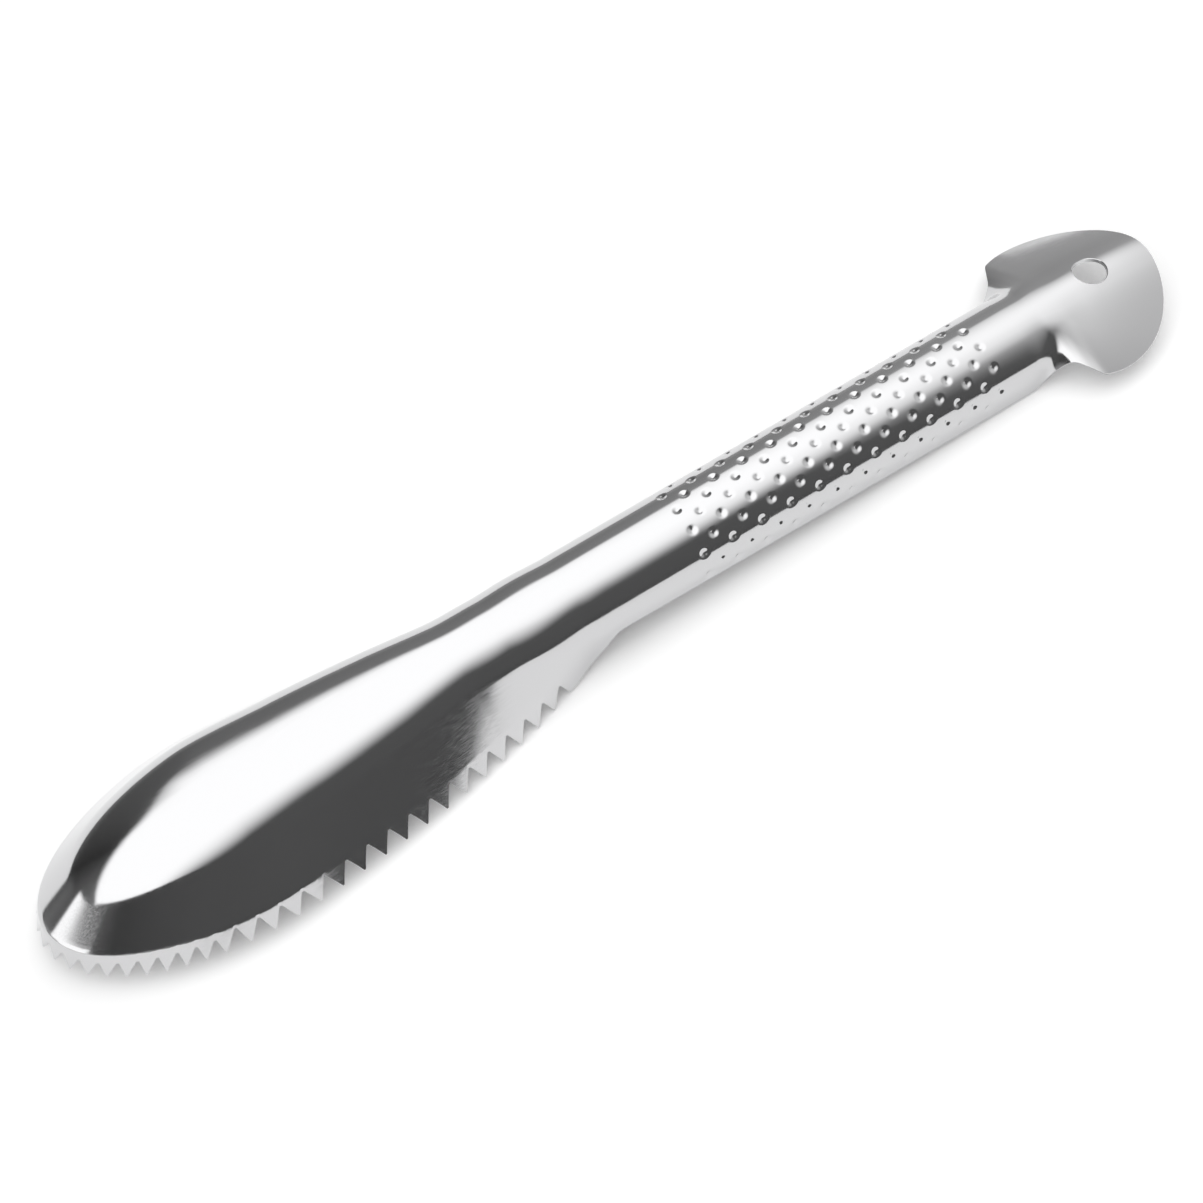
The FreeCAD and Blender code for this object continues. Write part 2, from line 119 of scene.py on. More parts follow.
class ScalerForm(bpy.types.PropertyGroup):
    """Form of the pressed sheet, laid out along X with the neck at 0 and the crown at height 0."""

    sheet_thickness: length("Sheet thickness", 0.8, "Thickness of the steel sheet")
    edge_break: length("Edge break", 0.08, "Width of the broken corner along each cut edge")
    nose_length: length("Nose length", 34.8, "From the widest section of the head to the tip")
    nose_fullness: number("Nose fullness", 1.95, "Power of the nose outline; 2 is an ellipse")
    nose_depth: length("Nose depth", 17.0, "Fall from the crown to the rim at the tip")
    nose_slope: angle("Nose slope", 57.0, "Slope of the flank at the tip")
    nose_edge_turn: angle("Nose edge turn", 22.0, "Extra slope of the rim band at the tip")
    nose_shoulder_radius: length("Nose shoulder radius", 14.0, "Bend between crown and flank at the tip")
    nose_crown_angle: angle("Nose crown angle", 10.0, "Slope that the crown reaches at the tip")
    head_length: length("Head length", 71.0, "From the neck to the widest section")
    head_shoulder_radius: length("Head shoulder radius", 9.0, "Bend between crown and flank")
    edge_band: length("Edge band", 4.0, "Width of the straight rim band")
    crown_angle: angle("Crown angle", 6.2, "Slope that the crown reaches beside its middle")
    grip_length: length("Grip length", 89.7, "From the neck to the fan")
    grip_half_width: length("Grip half width", 9.42, "Half width at the fan's end")
    grip_depth: length("Grip depth", 11.1, "Fall from the crown to the rim at the fan's end")
    grip_slope: angle("Grip slope", 89.5, "Slope of the grip's walls")
    grip_shoulder_radius: length("Grip shoulder radius", 8.6, "Bend between crown and wall")
    neck_shoulder_radius: length("Neck shoulder radius", 8.3, "The same bend at the neck")
    fan_length: length("Fan length", 14.6, "From the grip to the middle of the round end")
    disc_radius: length("Round end radius", 17.5, "Radius of the round end in plan")
    disc_side_drop: length("Round end side drop", 6.8, "Fall from its crown to its sides")
    disc_ridge: length("Round end ridge", 6.0, "Distance from its crown at which its sides straighten")
    disc_end_drop: length("Round end drop", 0.6, "Fall from its crown to its far end")
    hole_diameter: length("Hole diameter", 6.4, "Hanging hole")
    hole_offset: length("Hole offset", 5.1, "Hole's place past the middle of the round end")

    head_place: column("Head places", (0.00, 0.07, 0.17, 0.28, 0.40, 0.57, 0.80, 1.00),
                       "Control sections, as shares of the head's length from the neck")
    head_half_width: column("Head half widths", (9.10, 9.20, 10.80, 13.10, 15.20, 17.40, 19.15, 20.05),
                            "Half width at each control section", MM)
    head_depth: column("Head depths", (9.30, 12.40, 15.20, 15.85, 15.90, 15.70, 15.60, 15.80),
                       "Fall from crown to rim at each control section", MM)
    head_slope: column("Head slopes", (89.5, 88.0, 78.0, 65.0, 59.0, 56.5, 55.0, 53.5),
                       "Slope of the flank in radians", math.radians(1))
    head_edge_turn: column("Head edge turns", (0.0, 0.5, 3.0, 5.0, 1.5, 1.0, 1.5, 8.0),
                           "Extra slope of the rim band in radians", math.radians(1))
    head_edge_bend: column("Head edge bends", (8.0, 9.0, 11.0, 12.0, 10.0, 5.0, 3.0, 2.1),
                           "Radius of the bend between flank and rim band", MM)

    fan_place: column("Fan places", (0.13, 0.29, 0.44, 0.56, 0.71),
                      "Control sections, as shares of the fan's length from the grip")
    fan_half_width: column("Fan half widths", (9.60, 10.25, 11.80, 14.20, 16.80),
                           "Half width at each control section", MM)
    fan_slope: column("Fan slopes", (84.5, 60.0, 35.0, 29.5, 27.5),
                      "Slope of the flank in radians", math.radians(1))


class ScalerTeethAndDents(bpy.types.PropertyGroup):
    """Serrated rim and pressed dents."""

    nose_tooth_pitch: length("Nose tooth pitch", 3.2, "Pitch of the fine teeth round the nose")
    side_tooth_pitch: length("Side tooth pitch", 4.2, "Pitch of the teeth along the sides")
    nose_tooth_depth: length("Nose tooth depth", 2.7, "Depth of the fine teeth")
    side_tooth_depth: length("Side tooth depth", 3.4, "Depth of the side teeth")
    fine_teeth_length: length("Fine teeth length", 32.0, "Rim length with fine teeth, from the tip")
    all_teeth_length: length("All teeth length", 103.4, "Rim length with any teeth, from the tip")
    tooth_tip_flat: length("Tooth tip flat", 0.25, "Width of a tooth's blunt tip")
    gullet_flat: length("Gullet flat", 0.4, "Width of the bottom between two teeth")
    dent_pitch: length("Dent pitch", 6.1, "Distance along the grip between dents of one row")
    dent_row_pitch: length("Dent row pitch", 2.27, "Distance round the grip between rows")
    dent_diameter: length("Dent diameter", 2.0, "Width of a dent")
    dent_depth: length("Dent depth", 0.35, "Depth of a dent")
    dent_field_start: length("Dent field start", 17.7, "First dents, from the neck")
    dent_field_length: length("Dent field length", 64.1, "From the first dents to the last")
    dent_rim_gap: length("Dent rim gap", 1.4, "Plain stretch between the last row and the rim")


class ScalerGrid(bpy.types.PropertyGroup):
    """Fineness of the mesh."""

    columns_inside: count("Columns", 40, "Steps from the crown to the edge zone")
    columns_edge: count("Edge columns", 12, "Steps across the edge zone")
    edge_zone: length("Edge zone", 4.6, "Zone along the rim whose columns close up for the teeth")
    tooth_flank_steps: count("Tooth flank steps", 3, "Rows along each side of a tooth")
    dent_steps: count("Dent steps", 10, "Rows from one ring of dents to the next")
    plain_step: length("Plain step", 0.9, "Distance between rows on plain stretches")
    fan_rows: count("Fan rows", 34, "Rows along the fan")
    disc_rays: count("Round end rays", 44, "Steps round half of the round end's rim")
    disc_rings: count("Round end rings", 16, "Steps from the hole to the rim")


class SteelFinish(bpy.types.PropertyGroup):
    """Polished stainless steel."""

    tint: bpy.props.StringProperty(name="Tint", default="CDCDCE", description="Steel colour, sRGB hex")
    roughness: number("Roughness", 0.10, "Microscopic roughness of the polish")
    roughness_spread: number("Roughness spread", 0.03, "How far the roughness varies from place to place")
    lapping_width: length("Lapping line width", 0.25, "Distance between the fine lines of the polish")
    lapping_length: length("Lapping line length", 9.0, "Length of those lines")
    lapping_depth: length("Lapping line depth", 0.0004, "Depth of those lines")
    ripple_width: length("Ripple width", 6.0, "Distance between the soft waves left by the press")
    ripple_depth: length("Ripple depth", 0.004, "Depth of those waves")


class Studio(bpy.types.PropertyGroup):
    """Table, light tent and camera. The camera is placed beside the scaler as it is laid out. The tent is a
    dome far off. It has a four-sided light overhead, turned about the vertical, walls whose brightness
    changes round the compass, and a small bright window in them."""

    floor: bpy.props.StringProperty(name="Floor", default="FCFCFC", description="Floor colour, sRGB hex")
    floor_lift: number("Floor lift", 0.13, "Glow of the floor as the camera and the steel see it")
    tent_radius: length("Tent radius", 1500.0, "Radius of the light tent and the floor")
    light_turn: angle("Light turn", 47.0, "Turn of the overhead light about the vertical")
    light_level: number("Light level", 1.62, "Brightness of the overhead light")
    light_reach: column("Light reach", (1.48, 1.90, 0.85, 0.55),
                        "Where its front, back, left and right edges lie, as shares of its height")
    light_slant: number("Light slant", 0.43, "How much its left edge leans outwards towards the back")
    light_softness: column("Light softness", (1.50, 0.10, 0.20, 0.95),
                           "Width over which each of those edges fades, as shares of its height")
    wall_compass: column("Wall compass", (0, 45, 90, 135, 180, 215, 250, 305, 335, 360),
                         "Compass directions in degrees, from the round end's side")
    wall_foot: column("Wall foot", (1.0, 0.50, 0.30, 0.05, 0.9, 0.9, 0.06, 0.10, 0.55, 1.0),
                      "Brightness of the walls at the floor, in those directions")
    wall_top: column("Wall top", (0.85, 0.45, 0.14, 0.04, 0.20, 0.06, 0.10, 0.12, 0.72, 0.85),
                     "The same at the walls' top")
    wall_rise: angle("Wall rise", 14.0, "Elevation at which the walls' top begins")
    window_turn: angle("Window turn", 180.0, "Compass direction of a small bright window")
    window_width: angle("Window width", 40.0, "Width of that window")
    window_foot: angle("Window foot", 6.0, "Elevation of its lower edge")
    window_top: angle("Window top", 18.5, "Elevation of its upper edge")
    window_level: number("Window level", 1.6, "Its brightness")
    window_blur: angle("Window blur", 3.0, "Width over which its edges fade")
    camera_place: bpy.props.FloatVectorProperty(
        name="Camera place", size=3, default=(-107.85 * MM, -186.55 * MM, 287.93 * MM),
        unit="LENGTH", description="Camera, in the scaler's own frame")
    camera_aim: bpy.props.FloatVectorProperty(
        name="Camera aim", size=3, default=(-0.31 * MM, -3.06 * MM, -8.0 * MM),
        unit="LENGTH", description="Point in the middle of the view, in the scaler's own frame")
    camera_roll: angle("Camera roll", -5.07, "Turn of the camera about its view")
    lens: number("Lens", 64.95, "Focal length in millimetres")
    sensor: number("Sensor", 36.0, "Sensor width in millimetres")


# Curves and sections


def smooth_curve(places, values, at, start_flat=False, end_flat=False):
    """Monotone cubic: between two control values it is a cubic whose end slopes are weighted
    harmonic means of the neighbouring chords, so it never overshoots them."""
    x, y = np.asarray(places, float), np.asarray(values, float)
    h = np.diff(x)
    d = np.diff(y) / h
    before = 2 * h[1:] + h[:-1]
    after = h[1:] + 2 * h[:-1]
    turning = d[:-1] * d[1:] <= 0
    safe = np.where(turning, 1.0, 0.0)
    mean = (before + after) / (before / (d[:-1] + safe) + after / (d[1:] + safe))
    middle = np.where(turning, 0.0, mean)

    def end(h0, h1, d0, d1):
        slope = ((2 * h0 + h1) * d0 - h0 * d1) / (h0 + h1)
        if slope * d0 <= 0:
            return 0.0
        return 3 * d0 if d0 * d1 <= 0 and abs(slope) > abs(3 * d0) else slope

    first = 0.0 if start_flat else end(h[0], h[1], d[0], d[1])
    last = 0.0 if end_flat else end(h[-1], h[-2], d[-1], d[-2])
    slopes = np.concatenate([[first], middle, [last]])
    at = np.clip(at, x[0], x[-1])
    i = np.clip(np.searchsorted(x, at, side="right") - 1, 0, len(h) - 1)
    u = (at - x[i]) / h[i]
    return (y[i] * (1 + 2 * u) * (1 - u) ** 2 + slopes[i] * h[i] * u * (1 - u) ** 2
            + y[i + 1] * u * u * (3 - 2 * u) - slopes[i + 1] * h[i] * u * u * (1 - u))


def ease(u):
    """3u^2 - 2u^3 between 0 and 1."""
    u = np.clip(u, 0.0, 1.0)
    return u * u * (3 - 2 * u)


def mix(start, end, u):
    return start + (end - start) * u


def unit(vectors):
    return vectors / np.maximum(np.linalg.norm(vectors, axis=-1, keepdims=True), SHORTEST)


def ridge_fall(form, y, half_width):
    """Share of the fall from crown to rim that is reached at y: (s(y) - s(0)) / (s(half width) - s(0)) with
    s(y) = sqrt(y^2 + ridge^2), a hyperbola that is round over the crown and nearly straight to each side."""
    ridge = form.disc_ridge
    return (np.hypot(y, ridge) - ridge) / (np.hypot(half_width, ridge) - ridge)


def disc_side_pitch(form, y):
    """How steeply the round end falls sideways at y."""
    ridge = form.disc_ridge
    return form.disc_side_drop * y / (np.hypot(y, ridge) * (np.hypot(form.disc_radius, ridge) - ridge))


def crown_reach(half_width, depth, slope, shoulder, crown):
    """Reach that the crown adds to the shoulder in a section without a rim band. The flank takes what is
    left of the fall, once the crown has taken its own: tan(crown / 2) of its reach."""
    fall_share = math.tan(crown / 2)
    reach_left = half_width - shoulder * math.sin(slope)
    fall_left = depth - shoulder * (1 - math.cos(slope))
    flank = (fall_left - fall_share * reach_left) / (math.sin(slope) - fall_share * math.cos(slope))
    return reach_left - flank * math.cos(slope)


class Rows:
    """Cross rows of the sheet at stations q: nose from -1 to 0, head to 1, grip to 2, fan to 3. A row starts
    on the crown at x0 and runs at an angle from the cross plane, which is 90 degrees at the nose's tip."""

    def __init__(self, form, q):
        self.form = form
        q = np.asarray(q, float)
        nose, head, grip, fan = q < 0, (q >= 0) & (q < 1), (q >= 1) & (q <= 2), q > 2
        self.turn = np.where(nose, -q * math.pi / 2, 0.0)
        turned = ease(np.sin(self.turn) ** 2)
        from_neck = np.clip(1 - q, 0, 1)
        along_grip = np.clip(q - 1, 0, 1)
        along_fan = np.clip(q - 2, 0, 1)
        self.x0 = -form.head_length * from_neck + form.grip_length * along_grip + form.fan_length * along_fan

        def head_curve(values):
            return smooth_curve(form.head_place, values, from_neck, start_flat=True, end_flat=True)

        def nose_mix(head_values, at_tip):
            return mix(head_values[-1], at_tip, turned)

        def by_stretch(at_nose, at_head, at_grip, at_fan):
            return np.select([nose, head, grip, fan], [at_nose, at_head, at_grip, at_fan])

        fan_half_width, fan_slope, fan_depth = self.fan_sections(along_fan)
        self.stretch = np.where(nose, form.nose_length / form.head_half_width[-1], 1.0)
        self.half_width = by_stretch(self.nose_reach(), head_curve(form.head_half_width),
                                     mix(form.head_half_width[0], form.grip_half_width, along_grip),
                                     fan_half_width)
        self.depth = by_stretch(nose_mix(form.head_depth, form.nose_depth), head_curve(form.head_depth),
                                mix(form.head_depth[0], form.grip_depth, along_grip), fan_depth)
        self.slope = by_stretch(nose_mix(form.head_slope, form.nose_slope), head_curve(form.head_slope),
                                form.grip_slope, fan_slope)
        self.edge_turn = by_stretch(nose_mix(form.head_edge_turn, form.nose_edge_turn),
                                    head_curve(form.head_edge_turn), 0.0, 0.0)
        # The rim band narrows to nothing over the first stretches from the neck
        self.band = form.edge_band * by_stretch(1.0, ease(from_neck / form.head_place[2]), 0.0, 0.0)
        # On the grip and the fan the edge bend turns by nothing, whatever its radius
        self.bend = by_stretch(form.head_edge_bend[-1], head_curve(form.head_edge_bend), 1.0, 1.0)
        self.shoulder = by_stretch(mix(form.head_shoulder_radius, form.nose_shoulder_radius, turned),
                                   mix(form.neck_shoulder_radius, form.head_shoulder_radius, ease(from_neck)),
                                   mix(form.neck_shoulder_radius, form.grip_shoulder_radius, along_grip),
                                   form.grip_shoulder_radius)
        self.crown = mix(form.crown_angle, form.nose_crown_angle, turned)
        self.arch = ease(along_fan)
        self.solve()

    def nose_reach(self):
        """Length of each row in plan before it is stretched to the nose's length: the radius of a
        superellipse, side / (sin^p + cos^p)^(1/p) at the row's turn."""
        power = self.form.nose_fullness
        return self.form.head_half_width[-1] * (np.sin(self.turn) ** power
                                                + np.cos(self.turn) ** power) ** (-1 / power)

    def fan_sections(self, along):
        """Half width, slope and depth along the fan. The depth follows from the other two: the fall of the
        shoulder, of the crown, whose reach is eased from the grip's to the round end's, and of a straight
        flank over the rest."""
        form = self.form
        disc_slope = math.atan(disc_side_pitch(form, form.disc_radius))

        def fan_curve(start, values, end):
            return smooth_curve([0.0, *form.fan_place, 1.0], [start, *values, end], along, end_flat=True)

        half_width = fan_curve(form.grip_half_width, form.fan_half_width, form.disc_radius)
        slope = fan_curve(form.grip_slope, form.fan_slope, disc_slope)
        shoulder, crown = form.grip_shoulder_radius, form.crown_angle
        grip_reach = crown_reach(form.grip_half_width, form.grip_depth, form.grip_slope, shoulder, crown)
        disc_reach = crown_reach(form.disc_radius, form.disc_side_drop, disc_slope, shoulder, crown)
        flat = mix(grip_reach, disc_reach, ease(along))
        depth = (shoulder * (1 - np.cos(slope)) + flat * math.tan(crown / 2)
                 + (half_width - shoulder * np.sin(slope) - flat) * np.tan(slope))
        return half_width, slope, depth

    def solve(self):
        """Crown radius and flank length, from the half width and the depth."""
        bend = self.bend
        rim = self.slope + self.edge_turn
        reach_left = self.half_width - (self.shoulder * np.sin(self.slope)
                                        + bend * (np.sin(rim) - np.sin(self.slope))
                                        + self.band * np.cos(rim))
        fall_left = self.depth - (self.shoulder * (1 - np.cos(self.slope))
                                  + bend * (np.cos(self.slope) - np.cos(rim)) + self.band * np.sin(rim))
        fall_share = np.tan(self.crown / 2)
        self.flank = (fall_left - fall_share * reach_left) / (np.sin(self.slope)
                                                             - fall_share * np.cos(self.slope))
        crown_left = reach_left - self.flank * np.cos(self.slope)
        self.crown_radius = self.shoulder + crown_left / np.sin(self.crown)
        self.parts = np.stack([self.crown_radius * self.crown, self.shoulder * (self.slope - self.crown),
                               self.flank, bend * self.edge_turn, self.band], -1)
        self.length = self.parts.sum(-1)

    def channel(self, along):
        """Reach and fall at distances along the half section: crown arc, shoulder arc, straight flank, edge
        bend and straight band. An arc of radius r from slope a to b adds r(sin b - sin a) to the reach and
        r(cos a - cos b) to the fall."""
        starts = np.cumsum(self.parts, -1) - self.parts
        gone = np.clip(along[..., None] - starts[:, None, :], 0, self.parts[:, None, :])
        crown, slope, rim = self.crown[:, None], self.slope[:, None], (self.slope + self.edge_turn)[:, None]
        bend = self.bend[:, None]
        top = gone[..., 0] / self.crown_radius[:, None]
        side = crown + gone[..., 1] / self.shoulder[:, None]
        turn = slope + gone[..., 3] / bend
        shoulder, big = self.shoulder[:, None], self.crown_radius[:, None]
        reach = (big * np.sin(top) + shoulder * (np.sin(side) - np.sin(crown)) + gone[..., 2] * np.cos(slope)
                 + bend * (np.sin(turn) - np.sin(slope)) + gone[..., 4] * np.cos(rim))
        fall = (big * (1 - np.cos(top)) + shoulder * (np.cos(crown) - np.cos(side))
                + gone[..., 2] * np.sin(slope) + bend * (np.cos(slope) - np.cos(turn))
                + gone[..., 4] * np.sin(rim))
        return reach, fall

    def arched(self, part):
        """Reach and fall of an arch like the round end's, at shares of its half width."""
        reach = part * self.half_width[:, None]
        return reach, self.depth[:, None] * ridge_fall(self.form, reach, self.half_width[:, None])

    def points(self, part):
        """Points of the outer skin at shares of the half section's length, given for each row."""
        reach, fall = self.channel(part * self.length[:, None])
        arch_reach, arch_fall = self.arched(part)
        opened = self.arch[:, None]
        reach, fall = mix(reach, arch_reach, opened), mix(fall, arch_fall, opened)
        turn = self.turn[:, None]
        along = self.stretch[:, None] * reach * np.sin(turn)
        return np.stack([self.x0[:, None] - along, reach * np.cos(turn), -fall], -1)


# Rows and columns of the grid


def rim_distance(form, q):
    """Distance along the rim from the tip of the nose, at dense stations."""
    rim = Rows(form, q).points(np.ones((len(q), 1)))[:, 0]
    return np.concatenate([[0.0], np.cumsum(np.linalg.norm(np.diff(rim, axis=0), axis=1))])


def tooth_tips(cut):
    """Rim distances of the tips: fine pitches round the nose, then side pitches."""
    fine = int(cut.fine_teeth_length / cut.nose_tooth_pitch + COUNT_GUARD)
    side = int((cut.all_teeth_length - fine * cut.nose_tooth_pitch) / cut.side_tooth_pitch + COUNT_GUARD)
    steps = [cut.nose_tooth_pitch] * fine + [cut.side_tooth_pitch] * side
    return np.concatenate([[0.0], np.cumsum(steps)])


def tooth_profile(cut, distance):
    """Height of the cut above the rim, and how steeply it climbs: straight flanks between blunt tips and
    narrow gullet bottoms, nothing past the last tip."""
    tips = tooth_tips(cut)
    i = np.clip(np.searchsorted(tips, distance, side="right") - 1, 0, len(tips) - 2)
    pitch = tips[i + 1] - tips[i]
    fine = tips[i + 1] <= cut.fine_teeth_length + TINY
    depth = np.where(fine, cut.nose_tooth_depth, cut.side_tooth_depth)
    off = np.abs(distance - (tips[i] + tips[i + 1]) / 2)
    run = (pitch - cut.tooth_tip_flat - cut.gullet_flat) / 2
    climb = np.clip((pitch / 2 - cut.tooth_tip_flat / 2 - off) / run, 0, 1)
    inside = distance < tips[-1]
    on_flank = inside & (climb > 0) & (climb < 1)
    return np.where(inside, depth * climb, 0.0), np.where(on_flank, depth / run, 0.0)


def tooth_distances(cut, steps):
    """Rim distances of the rows: each corner of each tooth, and steps along its flanks."""
    tips = tooth_tips(cut)
    starts, pitches = tips[:-1, None], np.diff(tips)[:, None]
    half_tip, half_root = cut.tooth_tip_flat / 2, cut.gullet_flat / 2
    flank = np.linspace(0, 1, steps + 1)[None, :]
    down = mix(half_tip, pitches / 2 - half_root, flank)
    up = mix(pitches / 2 + half_root, pitches - half_tip, flank)
    return np.unique(np.concatenate([[0.0], (starts + down).ravel(), (starts + up).ravel()]))


def row_stations(form, cut, grid):
    """Stations of all rows, from the tip of the nose to the middle of the round end."""
    dense = np.linspace(-1, 1, RIM_STATIONS)
    distance = rim_distance(form, dense)
    toothed = np.interp(tooth_distances(cut, grid.tooth_flank_steps), distance, dense)
    last_tooth = np.interp(toothed[-1], dense, distance)
    plain_head = np.arange(distance[-1], last_tooth, -grid.plain_step)[:0:-1]
    head = np.concatenate([toothed, np.interp(plain_head, distance, dense)])
    half_pitch = cut.dent_pitch / 2
    step = half_pitch / grid.dent_steps
    lead = math.ceil(cut.dent_diameter / step)
    rings = int(cut.dent_field_length / half_pitch)
    dented = cut.dent_field_start + step * np.arange(-lead, rings * grid.dent_steps + lead + 1)
    before = np.linspace(0, dented[0], int(dented[0] / grid.plain_step) + 1)[:-1]
    steps_after = int((form.grip_length - dented[-1]) / grid.plain_step) + 1
    after = np.linspace(dented[-1], form.grip_length, steps_after + 1)
    grip = 1 + np.concatenate([before, dented, after[1:]]) / form.grip_length
    fan = np.linspace(2, 3, grid.fan_rows + 1)[1:]
    return np.concatenate([head[head < 1 - TINY], grip, fan])


def column_shares(rows, grid, cut_height):
    """Shares of the half section at which the columns lie: even ones to the edge zone, then ones that close
    up towards the cut."""
    total = rows.length[:, None]
    inside = np.linspace(0, 1, grid.columns_inside + 1)[None, :] * (total - grid.edge_zone)
    edge = np.linspace(0, 1, grid.columns_edge + 1)[None, 1:]
    edge = total - grid.edge_zone + edge * (grid.edge_zone - cut_height[:, None])
    return np.concatenate([inside, edge], 1) / total


def skin_normals(points):
    """Outward normals: the cross product of the grid's two directions. The crown's is straight up, and the
    tip row's lies in the middle plane."""
    normals = np.cross(np.gradient(points, axis=0), np.gradient(points, axis=1))
    normals[0, :, 1] = 0
    normals[:, 0] = (0, 0, 1)
    return unit(normals)


def disc_height(form, x, y):
    """The round end: its arch across, and a parabola along."""
    past = x - form.grip_length - form.fan_length
    return -(form.disc_side_drop * ridge_fall(form, y, form.disc_radius)
             + form.disc_end_drop * (past / form.disc_radius) ** 2)


def disc_normals(form, points):
    """Normals from its slopes."""
    past = points[..., 0] - form.grip_length - form.fan_length
    slope_x = 2 * form.disc_end_drop * past / form.disc_radius ** 2
    return unit(np.stack([slope_x, disc_side_pitch(form, points[..., 1]), np.ones_like(past)], -1))


def dent_press(cut, x, along, lengths):
    """Depth that the dents press the sheet in: depth (1 - (r / radius)^2)^2 about each dent. Rings lie half
    a pitch apart, and a dent lies where its ring and its row are both even or both odd."""
    half_pitch = cut.dent_pitch / 2
    rings = int(cut.dent_field_length / half_pitch)
    pressed = np.zeros_like(along)
    for odd in (0, 1):
        ring = 2 * np.round(((x - cut.dent_field_start) / half_pitch - odd) / 2) + odd
        ring = np.clip(ring, odd, rings - (rings - odd) % 2)
        last_row = np.floor((lengths - cut.dent_rim_gap) / cut.dent_row_pitch)
        last_row = last_row - (last_row - odd) % 2
        row = np.clip(2 * np.round((along / cut.dent_row_pitch - odd) / 2) + odd, odd, last_row)
        off = np.hypot(x - cut.dent_field_start - ring * half_pitch, along - row * cut.dent_row_pitch)
        near = np.clip(1 - (2 * off / cut.dent_diameter) ** 2, 0, 1)
        pressed = np.maximum(pressed, cut.dent_depth * near ** 2)
    return pressed


# Half of the sheet as grids of points


def edge_strip(outer, normals, thickness, corner):
    """Two wall points under an edge point of the outer skin, one broken corner in from each face."""
    return outer - normals * corner, outer - normals * (thickness - corner)


def body_strip(form, cut, grid):
    """Grid round the half section: outer skin from crown to edge, wall, and inner skin back to the crown."""
    stations = row_stations(form, cut, grid)
    rows = Rows(form, stations)
    dense = np.linspace(-1, 1, RIM_STATIONS)
    cut_height, climb = tooth_profile(cut, np.interp(stations, dense, rim_distance(form, dense)))
    corner = form.edge_break
    inset = corner * np.sqrt(1 + climb ** 2)
    edge_parts = column_shares(rows, grid, cut_height)
    skin_parts = column_shares(rows, grid, cut_height + inset)
    edge_points = rows.points(edge_parts)
    edge_normals = skin_normals(edge_points)
    points = rows.points(skin_parts)
    normals = skin_normals(points)
    edge_normals[-1] = disc_normals(form, edge_points[-1])
    normals[-1] = disc_normals(form, points[-1])
    along = skin_parts * rows.length[:, None]
    press = dent_press(cut, rows.x0[:, None], along, rows.length[:, None])[..., None]
    outer = points - normals * press
    inner = points - normals * (form.sheet_thickness + press)
    wall_top, wall_foot = edge_strip(edge_points[:, -1:], edge_normals[:, -1:], form.sheet_thickness, corner)
    strip = np.concatenate([outer, wall_top, wall_foot, inner[:, ::2][:, ::-1]], 1)
    strip[0, :, 1] = 0
    strip[:, 0, 1] = 0
    strip[:, -1, 1] = 0
    return strip, points[-1], edge_points[-1]


def disc_grids(form, grid, joint, joint_edge):
    """Grids of the round end, between the hole and the fan's last row and the rim."""
    centre = form.grip_length + form.fan_length
    hole_x = centre + form.hole_offset
    corner = form.edge_break
    sweep = np.linspace(math.pi / 2, 0, grid.disc_rays + 1)[1:]

    def loop(inner_row, radius):
        arc = np.stack([centre + radius * np.cos(sweep), radius * np.sin(sweep)], -1)
        return np.concatenate([inner_row[:, :2], arc])

    def lifted(flat):
        points = np.concatenate([flat, disc_height(form, flat[..., 0], flat[..., 1])[..., None]], -1)
        return points, disc_normals(form, points)

    outside = loop(joint, joint[-1, 1])
    bearing = np.arctan2(outside[:, 1], outside[:, 0] - hole_x)
    direction = np.stack([np.cos(bearing), np.sin(bearing)], -1)
    hole = np.array([hole_x, 0.0])
    hole_radius = form.hole_diameter / 2
    lip = hole + direction * (hole_radius + corner)
    rings = np.linspace(0, 1, grid.disc_rings + 1)[None, :, None]
    points, normals = lifted(mix(outside[:, None], lip[:, None], rings))
    inner = points - normals * form.sheet_thickness
    bore, bore_normals = lifted(hole + direction * hole_radius)
    bore_top, bore_foot = edge_strip(bore, bore_normals, form.sheet_thickness, corner)
    held = np.arange(len(points)) // 2 * 2
    hole_wall = np.stack([points[:, -1], bore_top, bore_foot, inner[held, -1]], 1)
    rim, rim_normals = lifted(loop(joint_edge, form.disc_radius)[len(joint) - 1:])
    rim_top, rim_foot = edge_strip(rim, rim_normals, form.sheet_thickness, corner)
    first = len(joint) - 1
    rim_wall = np.stack([points[first:, 0], rim_top, rim_foot, inner[held[first:], 0]], 1)
    return [points[:, ::-1], inner[::2], hole_wall[:, ::-1], rim_wall]


# Mesh


def grid_faces(shape, offset):
    """Quads between the points of a grid, which are numbered row by row from the offset."""
    rows, columns = shape
    corners = offset + np.arange(rows * columns).reshape(rows, columns)
    quads = np.stack([corners[:-1, :-1], corners[1:, :-1], corners[1:, 1:], corners[:-1, 1:]], -1)
    return quads.reshape(-1, 4)


def mesh_of(name, grids):
    """One mesh of several grids, with the points that they share merged."""
    offset = 0
    faces = []
    for grid in grids:
        faces.append(grid_faces(grid.shape[:2], offset))
        offset += grid.shape[0] * grid.shape[1]
    mesh = bpy.data.meshes.new(name)
    mesh.from_pydata(np.concatenate([grid.reshape(-1, 3) for grid in grids]), [], np.concatenate(faces))
    work = bmesh.new()
    work.from_mesh(mesh)
    bmesh.ops.remove_doubles(work, verts=work.verts, dist=MERGE_DISTANCE)
    open_edges = sum(1 for edge in work.edges if not edge.is_manifold)
    volume = work.calc_volume(signed=True)
    work.to_mesh(mesh)
    work.free()
    if open_edges or volume <= 0:
        raise RuntimeError("%s is not a closed shell: %d open edges, volume %g" % (name, open_edges, volume))
    mesh.polygons.foreach_set("use_smooth", np.ones(len(mesh.polygons), bool))
    mesh.set_sharp_from_angle(angle=SHARP_ANGLE)
    return mesh


